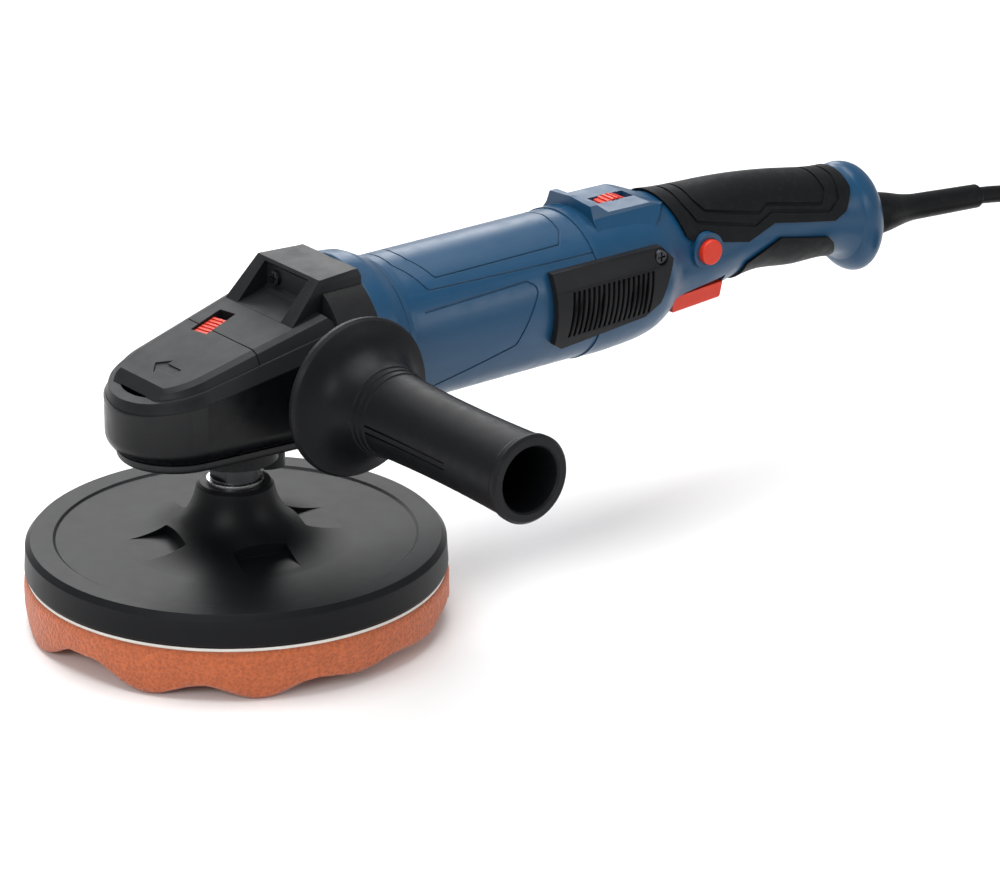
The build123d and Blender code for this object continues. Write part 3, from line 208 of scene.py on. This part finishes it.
# ---------------------------------------------------------------- materials
def srgb(red, green, blue):
    """Linear colour from 8-bit values."""
    def linear(value):
        share = value / 255
        return share / 12.92 if share <= 0.04045 else ((share + 0.055) / 1.055) ** 2.4
    return (linear(red), linear(green), linear(blue))


def scaled(colour, factor):
    return tuple(min(1.0, c * factor) for c in colour) + (1.0,)


class Surface:
    """A material under construction: object coordinates, a colour chain and a bump chain."""

    def __init__(self, name):
        self.material = bpy.data.materials.new(name)
        self.material.use_nodes = True
        tree = self.material.node_tree
        self.nodes, self.links = tree.nodes, tree.links
        self.shader = self.nodes["Principled BSDF"]
        self.place = self.nodes.new("ShaderNodeTexCoord").outputs["Object"]
        self.normal = None
        self.colour = None

    def stretched(self, scale):
        mapping = self.nodes.new("ShaderNodeMapping")
        mapping.inputs["Scale"].default_value = scale
        self.links.new(self.place, mapping.inputs["Vector"])
        return mapping.outputs["Vector"]

    def noise(self, size, detail=3.0, place=None):
        """Noise whose features are about that many metres across."""
        node = self.nodes.new("ShaderNodeTexNoise")
        node.inputs["Scale"].default_value = 1 / size
        node.inputs["Detail"].default_value = detail
        self.links.new(place or self.place, node.inputs["Vector"])
        return node.outputs["Fac"]

    def cells(self, size):
        """Distance to the nearest cell centre, for cells about that many metres across."""
        node = self.nodes.new("ShaderNodeTexVoronoi")
        node.feature = "F1"
        node.inputs["Scale"].default_value = 1 / size
        self.links.new(self.place, node.inputs["Vector"])
        return node.outputs["Distance"]

    def ranged(self, value, low, high, to_low=0.0, to_high=1.0):
        node = self.nodes.new("ShaderNodeMapRange")
        node.inputs["From Min"].default_value = low
        node.inputs["From Max"].default_value = high
        node.inputs["To Min"].default_value = to_low
        node.inputs["To Max"].default_value = to_high
        self.links.new(value, node.inputs["Value"])
        return node.outputs["Result"]

    def paint(self, colour, share):
        """Lay a colour over what is there, by the share (a socket)."""
        mix = self.nodes.new("ShaderNodeMix")
        mix.data_type = "RGBA"
        self.links.new(share, mix.inputs["Factor"])
        self.links.new(self.colour, mix.inputs[6])
        mix.inputs[7].default_value = colour
        self.colour = mix.outputs[2]

    def base(self, dark, light, share):
        mix = self.nodes.new("ShaderNodeMix")
        mix.data_type = "RGBA"
        self.links.new(share, mix.inputs["Factor"])
        mix.inputs[6].default_value = dark
        mix.inputs[7].default_value = light
        self.colour = mix.outputs[2]

    def soften(self, radius):
        """Round every sharp edge in the shading by that radius."""
        node = self.nodes.new("ShaderNodeBevel")
        node.samples = 4
        node.inputs["Radius"].default_value = radius
        self.normal = node.outputs["Normal"]

    def bump(self, height, depth, strength=1.0):
        node = self.nodes.new("ShaderNodeBump")
        node.inputs["Strength"].default_value = strength
        node.inputs["Distance"].default_value = depth
        self.links.new(height, node.inputs["Height"])
        if self.normal is not None:
            self.links.new(self.normal, node.inputs["Normal"])
        self.normal = node.outputs["Normal"]

    def edges(self, low=0.52, high=0.6):
        """Share that is high on outer edges."""
        geometry = self.nodes.new("ShaderNodeNewGeometry")
        return self.ranged(geometry.outputs["Pointiness"], low, high)

    def roughness(self, value, low, high):
        self.links.new(self.ranged(value, 0.3, 0.7, low, high), self.shader.inputs["Roughness"])

    def done(self, **sockets):
        if self.colour is not None:
            self.links.new(self.colour, self.shader.inputs["Base Color"])
        if self.normal is not None:
            self.links.new(self.normal, self.shader.inputs["Normal"])
        for name, value in sockets.items():
            self.shader.inputs[name.replace("_", " ")].default_value = value
        return self.material


def moulded(name, colour, rough, grain=0.45 * MM, depth=0.03 * MM, round_off=0.35 * MM,
            cloud=0.06, rub=0.3, patch=0.05, shine=0.13):
    """Moulded plastic: fine spark grain, faint cloudiness and slightly rubbed edges."""
    s = Surface(name)
    s.base(scaled(colour, 1 - cloud), scaled(colour, 1 + cloud), s.noise(18 * MM))
    s.paint(scaled([c * 0.9 + 0.018 for c in colour], 1.25), s.ranged(s.edges(), 0, 1, 0, rub))
    s.soften(round_off)
    s.bump(s.noise(grain, 2.0), depth)
    s.roughness(s.noise(7 * MM), rough - patch, rough + patch)
    return s.done(Specular_IOR_Level=shine)


def rubber(name, colour, rough, pore=0.8 * MM, depth=0.05 * MM, round_off=0.4 * MM):
    """Soft black rubber: pebbled grain, dull, with a little dust in patches."""
    s = Surface(name)
    pebbles = s.cells(pore)
    s.base(scaled(colour, 0.85), scaled(colour, 1.2), s.noise(12 * MM))
    s.paint(scaled([c + 0.012 for c in colour], 1.0), s.ranged(s.noise(3 * MM), 0.55, 0.8, 0, 0.35))
    s.soften(round_off)
    s.bump(pebbles, depth)
    s.roughness(s.noise(5 * MM), rough - 0.06, rough + 0.08)
    return s.done(Specular_IOR_Level=0.12)


def metal(name, colour, rough, lines=(1, 1, 1), depth=0.01 * MM, round_off=0.15 * MM):
    """Worked metal: stretched tool marks and darker oil traces."""
    s = Surface(name)
    marks = s.noise(1.2 * MM, 4.0, s.stretched(lines))
    s.base(scaled(colour, 0.82), scaled(colour, 1.12), marks)
    s.paint(scaled(colour, 0.45), s.ranged(s.noise(9 * MM), 0.6, 0.85, 0, 0.5))
    s.soften(round_off)
    s.bump(marks, depth)
    s.roughness(marks, rough - 0.07, rough + 0.1)
    return s.done(Metallic=1.0)


def cast(name, colour, rough):
    """Black painted casting with an orange-peel skin."""
    s = Surface(name)
    s.base(scaled(colour, 0.9), scaled(colour, 1.12), s.noise(14 * MM))
    s.paint(scaled([c + 0.03 for c in colour], 1.0), s.ranged(s.edges(0.53, 0.62), 0, 1, 0, 0.35))
    s.soften(0.5 * MM)
    s.bump(s.noise(0.7 * MM, 3.0), 0.05 * MM)
    s.roughness(s.noise(6 * MM), rough - 0.06, rough + 0.06)
    return s.done(Specular_IOR_Level=0.2)


def open_foam(name, colour):
    """Reticulated polishing foam: open cells, painted shade in the pores, fuzzy at grazing angles.
    """
    s = Surface(name)
    coarse, fine = s.cells(1.5 * MM), s.noise(0.5 * MM, 4.0)
    s.base(scaled(colour, 0.8), scaled(colour, 1.12), s.noise(9 * MM, 5.0))
    # painted shade: the foam colour at half strength, strongest at the cell centres, stands for the
    # shade inside the open pores
    s.paint(scaled(colour, 0.5), s.ranged(coarse, 0.25, 0.75, 0.55, 0.0))
    s.paint(scaled([c * 0.9 + 0.08 for c in colour], 1.1), s.ranged(fine, 0.52, 0.75, 0, 0.6))
    s.bump(coarse, 0.7 * MM, 0.8)
    s.bump(fine, 0.35 * MM, 0.7)
    return s.done(Roughness=1.0, Sheen_Weight=0.25)


def cloth(name, colour):
    """Cut hook tape seen edge-on, with tiny fibres."""
    s = Surface(name)
    s.base(scaled(colour, 0.82), scaled(colour, 1.05), s.noise(0.6 * MM, 4.0))
    s.bump(s.noise(0.4 * MM, 3.0), 0.2 * MM)
    return s.done(Roughness=0.95)


def wound(name, colour, lines):
    """Enamelled winding wire, as ridges along the stretched direction."""
    s = Surface(name)
    strands = s.noise(0.9 * MM, 1.0, s.stretched(lines))
    s.base(scaled(colour, 0.5), scaled(colour, 1.15), strands)
    s.bump(strands, 0.25 * MM)
    return s.done(Roughness=0.32, Metallic=0.85)


BLUE = srgb(9, 60, 92)
materials = {
    "foam": open_foam("orange_foam", srgb(190, 98, 56)),
    "hook_cloth": cloth("hook_tape", srgb(222, 220, 214)),
    "pad_rubber": moulded("plate_moulding", srgb(12, 13, 16), 0.42, 0.6 * MM, 0.012 * MM,
                          cloud=0.02,
                          patch=0.012),
    "bright_steel": metal("turned_steel", srgb(190, 190, 192), 0.28, (1, 1, 14)),
    "gear_steel": metal("oiled_steel", srgb(130, 130, 134), 0.34, (1, 1, 5)),
    "bearing_steel": metal("bearing_steel", srgb(200, 202, 206), 0.2, (1, 6, 6)),
    "spring_steel": metal("spring_wire", srgb(150, 152, 156), 0.3, (3, 3, 3)),
    "screw_zinc": metal("blackened_screw", srgb(64, 66, 70), 0.4, (2, 2, 2)),
    "lamination": metal("stamped_sheet", srgb(96, 98, 104), 0.5, (30, 1, 1), 0.05 * MM),
    "copper": wound("winding_copper", srgb(196, 110, 66), (0.12, 4, 4)),
    "carbon": moulded("pressed_carbon", srgb(28, 28, 30), 0.6),
    "brass": metal("drawn_brass", srgb(196, 166, 100), 0.32, (1, 8, 1)),
    "fan_plastic": moulded("fan_plastic", srgb(44, 45, 48), 0.45),
    "case_metal": cast("case_paint", srgb(8, 9, 12), 0.32),
    "flange_metal": cast("die_casting", srgb(26, 27, 29), 0.42),
    "cover_black": moulded("cover_plastic", srgb(22, 24, 27), 0.42),
    "body_blue": moulded("blue_plastic", BLUE, 0.34, shine=0.35),
    "vent_black": moulded("vent_plastic", srgb(13, 14, 17), 0.45),
    "grip_rubber": rubber("grip_rubber", srgb(11, 13, 16), 0.5),
    "control_red": moulded("red_plastic", srgb(196, 44, 18), 0.38, cloud=0.04, shine=0.35),
    "module_grey": moulded("module_plastic", srgb(84, 85, 88), 0.5),
    "handle_black": moulded("handle_plastic", srgb(14, 15, 18), 0.44, 0.6 * MM, 0.05 * MM),
    "cord_rubber": rubber("cord_sheath", srgb(12, 13, 15), 0.42, 0.5 * MM, 0.01 * MM),
    "plug_black": rubber("plug_moulding", srgb(13, 14, 16), 0.45, 0.6 * MM, 0.02 * MM),
    "plug_brass": metal("pin_metal", srgb(206, 198, 176), 0.25, (8, 1, 1)),
}
own_materials = {
    "spindle": metal("blued_steel", srgb(74, 75, 78), 0.34, (1, 1, 14)),
}


def clothe(thing, material):
    thing.data.materials.clear()
    thing.data.materials.append(material)


for subpart in frame["record"]["subparts"]:
    node = subpart["node"]
    clothe(frame["nodes"][node], own_materials.get(node, materials[subpart["material_slot"]]))
clothe(power_cord, materials["cord_rubber"])
clothe(waffle_foam, materials["foam"])


# ---------------------------------------------------------------- studio
def make_floor():
    bpy.ops.mesh.primitive_plane_add(size=16, location=(0.15, 0, 0))
    floor = bpy.context.object
    floor.name = "studio_floor"
    s = Surface("floor_paint")
    s.base((0.88, 0.88, 0.88, 1), (0.90, 0.90, 0.90, 1), s.noise(0.3))
    s.bump(s.noise(0.004), 0.0001)
    clothe(floor, s.done(Roughness=0.6))


def soft_box(name, place, target, size, power):
    """Square area light that faces the target."""
    data = bpy.data.lights.new(name, "AREA")
    data.shape = "RECTANGLE"
    data.size, data.size_y = size
    data.energy = power
    light = bpy.data.objects.new(name, data)
    light.location = place
    light.rotation_euler = (Vector(target) - Vector(place)).to_track_quat("-Z", "Y").to_euler()
    bpy.context.scene.collection.objects.link(light)


make_floor()
MIDDLE = (0.15, 0, 0.08)
soft_box("overhead", (0.1, 0.25, 1.5), MIDDLE, (1.6, 1.1), 26)
soft_box("key_left", (-1.3, -0.7, 0.9), MIDDLE, (0.9, 0.5), 10)
soft_box("fill_right", (0.9, -1.5, 0.7), MIDDLE, (1.2, 0.5), 6)
soft_box("rim_back", (0.6, 1.4, 0.8), MIDDLE, (1.4, 0.6), 12)
world = bpy.data.worlds.new("studio")
world.use_nodes = True
world.node_tree.nodes["Background"].inputs["Color"].default_value = (1, 1, 1, 1)
world.node_tree.nodes["Background"].inputs["Strength"].default_value = 0.45
bpy.context.scene.world = world
bpy.context.scene.view_settings.view_transform = "Standard"
